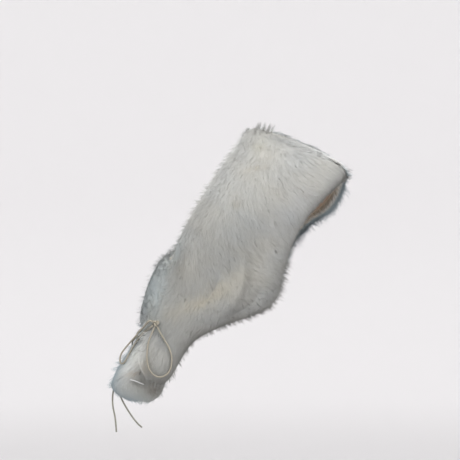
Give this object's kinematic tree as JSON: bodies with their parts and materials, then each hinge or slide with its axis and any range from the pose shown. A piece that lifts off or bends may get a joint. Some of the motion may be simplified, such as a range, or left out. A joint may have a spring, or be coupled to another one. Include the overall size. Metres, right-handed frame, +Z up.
{
  "type": "fur collar wrap",
  "caption": "Long-pile fur wrap with a satin lining, worn over one shoulder and across the chest, tied with a cord bow at the opposite hip, its tails hanging below.",
  "frame": {"origin": "on the inside of the lining, where the wrap rests on top of the left shoulder", "axes": "+Z up, -Y towards the front of the figure, +X towards the figure's left"},
  "size_m": [0.5674, 0.2955, 0.7339],
  "materials": {
    "fur": "soft long cream-white pile",
    "lining": "tan satin",
    "tie": "cream satin cord",
    "label": "plain white woven tape"
  },
  "bodies": {
    "root": {"fur_front": "fur", "fur_back": "fur", "lining_front": "lining", "lining_back": "lining", "tie_knot": "tie", "tie_loop_right": "tie", "tie_loop_left": "tie", "tie_end_right": "tie", "tie_end_left": "tie", "label_tab": "label"}
  },
  "joints": []
}
